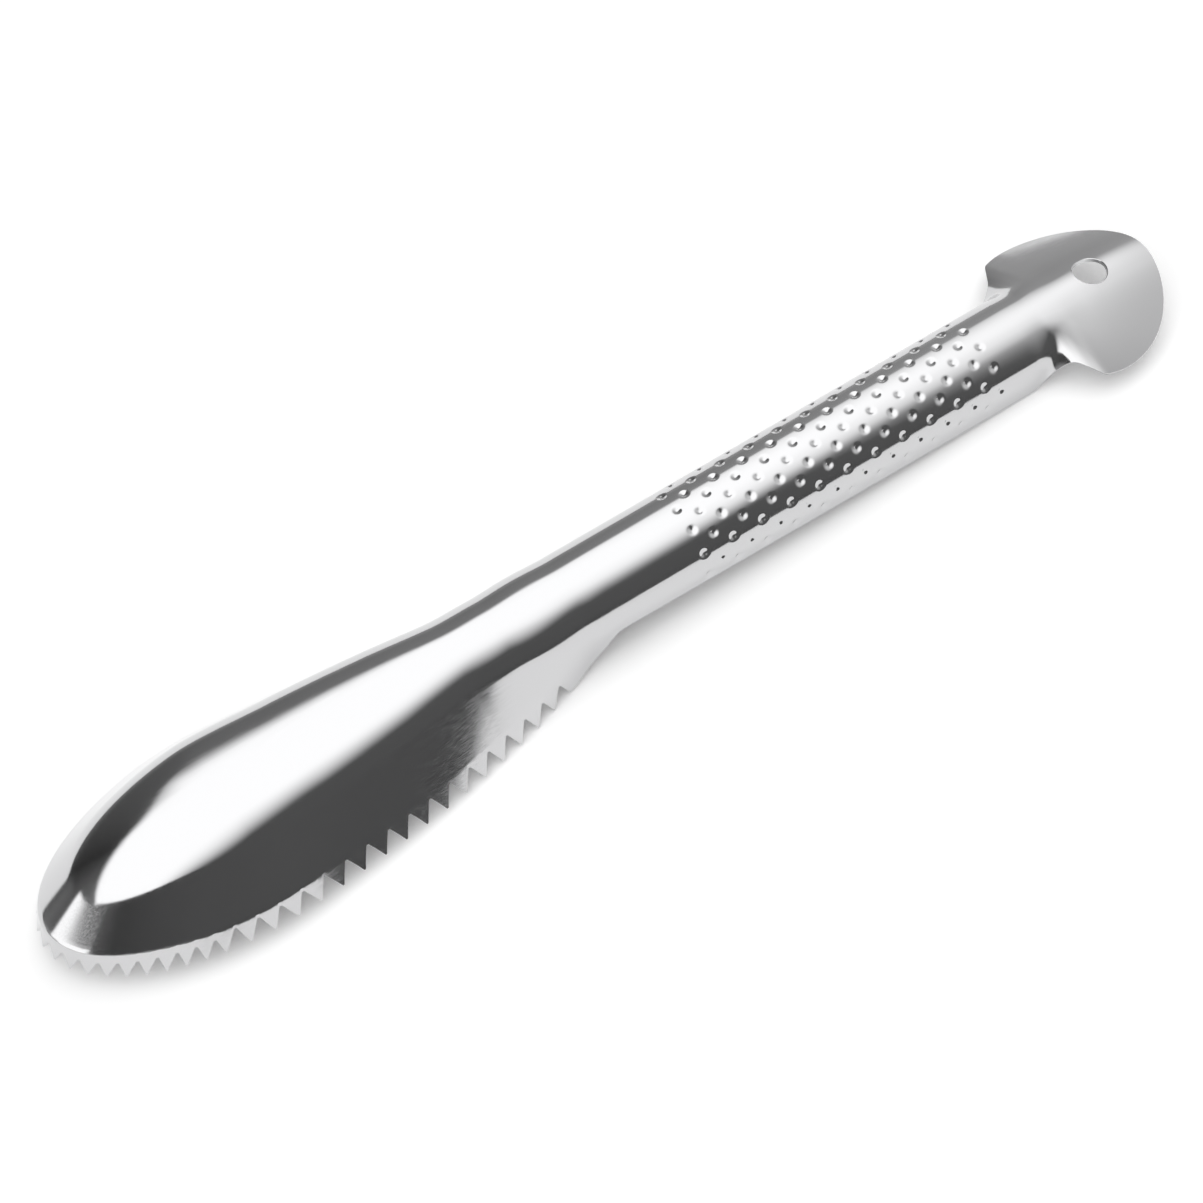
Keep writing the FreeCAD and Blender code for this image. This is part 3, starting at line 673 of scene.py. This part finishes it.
def mirrored(grid):
    """The other half: y changes sign, and the row order turns round so that faces still point outwards."""
    return (grid * (1, -1, 1))[::-1]


def rest_turn(form):
    """Turn about Y that brings two points of the rim to one height: the grip's end, and the head's point
    that is then its lowest. It is the steepest line from the end to the head's rim."""
    rows = Rows(form, np.linspace(-1, 3, REST_STATIONS))
    points = rows.points(np.ones((REST_STATIONS, 1)))[:, 0]
    head, end = points[rows.x0 < 0], points[np.argmin(np.abs(rows.x0 - form.grip_length))]
    turn = math.atan(np.max((end[2] - head[:, 2]) / (end[0] - head[:, 0])))
    return Matrix.Rotation(turn, 4, "Y")


def place_on_floor(mesh, turn):
    """Turn the mesh to its rest, and move it to the middle of the CAD part's box and down to its foot."""
    mesh.transform(turn)
    places = np.empty(len(mesh.vertices) * 3)
    mesh.vertices.foreach_get("co", places)
    places = places.reshape(-1, 3)
    low, high = places.min(0), places.max(0)
    middle = (np.array(CAD_LOW) + np.array(CAD_HIGH)) / 2
    move = Matrix.Translation((middle[0] - (low[0] + high[0]) / 2, middle[1] - (low[1] + high[1]) / 2,
                               CAD_LOW.z - low[2]))
    mesh.transform(move)
    return move @ turn


# Materials


def linear(hex_colour, alpha=1.0):
    """sRGB hex to the linear colour that shaders take."""
    channels = np.array([int(hex_colour[i:i + 2], 16) / 255 for i in (0, 2, 4)])
    values = np.where(channels <= 0.04045, channels / 12.92, ((channels + 0.055) / 1.055) ** 2.4)
    return (*values, alpha)


def add_node(tree, kind, inputs=(), **settings):
    """Add a node, set its properties, and set or link its inputs: a socket is linked, and anything else is
    a value."""
    node = tree.nodes.new(kind)
    for key, value in settings.items():
        setattr(node, key, value)
    for key, value in dict(inputs).items():
        if isinstance(value, bpy.types.NodeSocket):
            tree.links.new(value, node.inputs[key])
        else:
            node.inputs[key].default_value = value
    return node


def new_material(name):
    material = bpy.data.materials.new(name)
    material.use_nodes = True
    material.node_tree.nodes.clear()
    return material, material.node_tree


def polished_stainless(finish):
    """Stainless steel sheet, pressed and then lapped bright. The eye gets near-mirror reflections that waver
    softly over the pressed form, and fine lines along the tool where light rakes it."""
    material, tree = new_material("polished_stainless_steel")
    place = add_node(tree, "ShaderNodeTexCoord").outputs["Object"]
    lines_scale = (1 / finish.lapping_length, 1 / finish.lapping_width, 1 / finish.lapping_width)
    lines_place = add_node(tree, "ShaderNodeMapping", {"Vector": place, "Scale": lines_scale})
    lines = add_node(tree, "ShaderNodeTexNoise", {
        "Vector": lines_place.outputs[0], "Scale": 1.0, "Detail": 2.0})
    ripple = add_node(tree, "ShaderNodeTexNoise", {
        "Vector": place, "Scale": 1 / finish.ripple_width, "Detail": 1.0})
    waves = add_node(tree, "ShaderNodeBump", {
        "Height": ripple.outputs["Fac"], "Distance": finish.ripple_depth})
    relief = add_node(tree, "ShaderNodeBump", {
        "Height": lines.outputs["Fac"], "Normal": waves.outputs[0], "Distance": finish.lapping_depth})
    roughness = add_node(tree, "ShaderNodeMapRange", {
        "Value": lines.outputs["Fac"], "From Min": NOISE_LOW, "From Max": NOISE_HIGH,
        "To Min": finish.roughness - finish.roughness_spread,
        "To Max": finish.roughness + finish.roughness_spread})
    steel = add_node(tree, "ShaderNodeBsdfPrincipled", {
        "Base Color": linear(finish.tint), "Metallic": 1.0, "Roughness": roughness.outputs[0],
        "Normal": relief.outputs[0]})
    add_node(tree, "ShaderNodeOutputMaterial", {"Surface": steel.outputs[0]})
    return material


def seen_rays(tree):
    """1 for rays from the camera, from gloss and through glass, and 0 for the light itself."""
    path = add_node(tree, "ShaderNodeLightPath").outputs
    seen = add_node(tree, "ShaderNodeMath", {0: path["Is Camera Ray"], 1: path["Is Glossy Ray"]},
                    operation="MAXIMUM")
    seen = add_node(tree, "ShaderNodeMath", {0: seen.outputs[0], 1: path["Is Transmission Ray"]},
                    operation="MAXIMUM")
    return seen.outputs[0]


def painted_floor(studio):
    """Table top painted matt white. The eye gets an even white, and the soft shadow that the scaler casts
    on it."""
    material, tree = new_material("matt_white_table")
    lift = add_node(tree, "ShaderNodeMath", {0: seen_rays(tree), 1: studio.floor_lift}, operation="MULTIPLY")
    floor = add_node(tree, "ShaderNodeBsdfPrincipled", {
        "Base Color": linear(studio.floor), "Roughness": 1.0, "Specular IOR Level": 0.0,
        "Emission Color": linear(studio.floor), "Emission Strength": lift.outputs[0]})
    add_node(tree, "ShaderNodeOutputMaterial", {"Surface": floor.outputs[0]})
    return material


def tent_cloth():
    """Cloth of a light tent, sewn from white, grey and black panels and as bright as its mesh says. The eye
    gets it only as the light and dark bands that the steel mirrors."""
    material, tree = new_material("tent_cloth")
    level = add_node(tree, "ShaderNodeAttribute", attribute_name="level")
    glow = add_node(tree, "ShaderNodeEmission", {"Strength": level.outputs["Fac"]})
    material.cycles.emission_sampling = "NONE"
    add_node(tree, "ShaderNodeOutputMaterial", {"Surface": glow.outputs[0]})
    return material


# Stage


def stage_mesh(name, points, material):
    """Stage piece of one grid of points."""
    mesh = bpy.data.meshes.new(name)
    mesh.from_pydata(points.reshape(-1, 3), [], grid_faces(points.shape[:2], 0))
    mesh.materials.append(material)
    piece = bpy.data.objects.new(name, mesh)
    bpy.context.scene.collection.objects.link(piece)
    return piece


def ring_points(radii, heights, steps):
    """Surface of revolution about Z through (radius, height) pairs."""
    turn = np.linspace(0, 2 * math.pi, steps + 1)[None, :]
    radii, heights = np.array(radii)[:, None], np.array(heights)[:, None] + 0 * turn
    return np.stack([radii * np.cos(turn), radii * np.sin(turn), heights], -1)


def overhead_light(studio, direction):
    """1 inside the four-sided light and 0 outside it. How far the direction's slopes are past each edge, as
    shares of its softness, is added up as a length, which rounds the corners, and eased."""
    turn = studio.light_turn
    rise = np.maximum(direction[..., 2], LEAST_RISE)
    along = (direction[..., 0] * math.cos(turn) + direction[..., 1] * math.sin(turn)) / rise
    across = (direction[..., 1] * math.cos(turn) - direction[..., 0] * math.sin(turn)) / rise
    left = across + studio.light_slant * along
    slopes = np.stack([along, -along, left, -across], -1)
    past = np.clip((slopes - np.array(studio.light_reach)) / np.array(studio.light_softness) + 0.5, 0.0, None)
    return 1 - ease(np.linalg.norm(past, axis=-1))


def tent_level(studio, direction):
    """Brightness of the tent in each direction: walls between their foot and top levels, which are mixed
    round the compass, the window on them, and the overhead light over both."""
    compass = np.degrees(np.arctan2(direction[..., 1], direction[..., 0])) % 360
    elevation = np.arcsin(direction[..., 2])
    foot = np.interp(compass, studio.wall_compass, studio.wall_foot)
    top = np.interp(compass, studio.wall_compass, studio.wall_top)
    level = mix(foot, top, ease(elevation / studio.wall_rise))
    off = np.abs(np.radians(compass) - studio.window_turn)
    window = (ease((studio.window_width / 2 - off) / studio.window_blur + 0.5)
              * ease((elevation - studio.window_foot) / studio.window_blur + 0.5)
              * ease((studio.window_top - elevation) / studio.window_blur + 0.5))
    level = mix(level, studio.window_level, window)
    return mix(level, studio.light_level, overhead_light(studio, direction))


def white_world():
    """Pale backdrop at strength 1 for camera, glossy and transmission rays."""
    world = bpy.data.worlds.new("pale_backdrop")
    world.use_nodes = True
    tree = world.node_tree
    tree.nodes.clear()
    white = add_node(tree, "ShaderNodeBackground", {"Strength": seen_rays(tree)})
    add_node(tree, "ShaderNodeOutputWorld", {"Surface": white.outputs[0]})
    bpy.context.scene.world = world


def add_camera(studio, placing):
    """Camera at the photograph's angle, carried with the scaler from its own frame to its rest."""
    data = bpy.data.cameras.new("camera")
    data.lens = studio.lens
    data.sensor_width = studio.sensor
    camera = bpy.data.objects.new("camera", data)
    place, aim = Vector(studio.camera_place), Vector(studio.camera_aim)
    look = (aim - place).to_track_quat("-Z", "Y").to_matrix().to_4x4()
    roll = Matrix.Rotation(studio.camera_roll, 4, "Z")
    camera.matrix_world = placing @ Matrix.Translation(place) @ look @ roll
    bpy.context.scene.collection.objects.link(camera)
    bpy.context.scene.camera = camera


# Operators


class SCALER_OT_pressed_sheet(bpy.types.Operator):
    """Build the whole scaler: head, serrated rim, dented grip and round end, from one steel sheet"""

    bl_idname = "scaler.pressed_sheet"
    bl_label = "Pressed Sheet"

    def execute(self, context):
        scene = context.scene
        form, cut, grid = scene.scaler_form, scene.scaler_cut, scene.scaler_grid
        strip, joint, joint_edge = body_strip(form, cut, grid)
        half = [strip, *disc_grids(form, grid, joint, joint_edge)]
        mesh = mesh_of("pressed_sheet", half + [mirrored(part) for part in half])
        placing = place_on_floor(mesh, rest_turn(form))
        scene["scaler_placing"] = [value for row in placing for value in row]
        mesh.materials.append(polished_stainless(scene.scaler_finish))
        piece = bpy.data.objects.new("pressed_sheet", mesh)
        scene.collection.objects.link(piece)
        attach(piece, "root")
        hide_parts(NODE)
        return {"FINISHED"}


class SCALER_OT_studio(bpy.types.Operator):
    """Set up the white table, the light tent round it, the pale backdrop and the camera"""

    bl_idname = "scaler.studio"
    bl_label = "Studio"

    def execute(self, context):
        scene = context.scene
        studio = scene.scaler_studio
        radius = studio.tent_radius
        stage_mesh("floor", ring_points([radius, FLOOR_CENTRE], [0.0, 0.0], FLOOR_SIDES),
                   painted_floor(studio))
        rise = np.linspace(0, math.pi / 2 - TENT_POLE_GAP, TENT_ROWS)
        dome = ring_points(radius * np.cos(rise), radius * np.sin(rise), TENT_SIDES)[:, ::-1]
        tent = stage_mesh("light_tent", dome, tent_cloth())
        level = tent.data.attributes.new("level", "FLOAT", "POINT")
        level.data.foreach_set("value", tent_level(studio, dome / radius).ravel())
        tent.visible_camera = False
        white_world()
        flat = list(scene["scaler_placing"])
        add_camera(studio, Matrix([flat[i:i + 4] for i in (0, 4, 8, 12)]))
        scene.view_settings.view_transform = "Standard"
        return {"FINISHED"}


class SCALER_PT_panel(bpy.types.Panel):
    """Lists the steps that build the scaler"""

    bl_label = "Fish Scaler"
    bl_idname = "SCALER_PT_panel"
    bl_space_type = "VIEW_3D"
    bl_region_type = "UI"
    bl_category = "Fish Scaler"

    def draw(self, context):
        for operator in OPERATORS:
            self.layout.operator(operator.bl_idname)


OPERATORS = (SCALER_OT_pressed_sheet, SCALER_OT_studio)
SETTINGS = {"scaler_form": ScalerForm, "scaler_cut": ScalerTeethAndDents, "scaler_grid": ScalerGrid,
            "scaler_finish": SteelFinish, "scaler_studio": Studio}


def register():
    for item in (*SETTINGS.values(), *OPERATORS, SCALER_PT_panel):
        bpy.utils.register_class(item)
    for name, group in SETTINGS.items():
        setattr(bpy.types.Scene, name, bpy.props.PointerProperty(type=group))


def unregister():
    for name in SETTINGS:
        delattr(bpy.types.Scene, name)
    for item in reversed((*SETTINGS.values(), *OPERATORS, SCALER_PT_panel)):
        bpy.utils.unregister_class(item)


def main():
    register()
    bpy.ops.scaler.pressed_sheet()
    bpy.ops.scaler.studio()


if __name__ == "__main__":
    main()
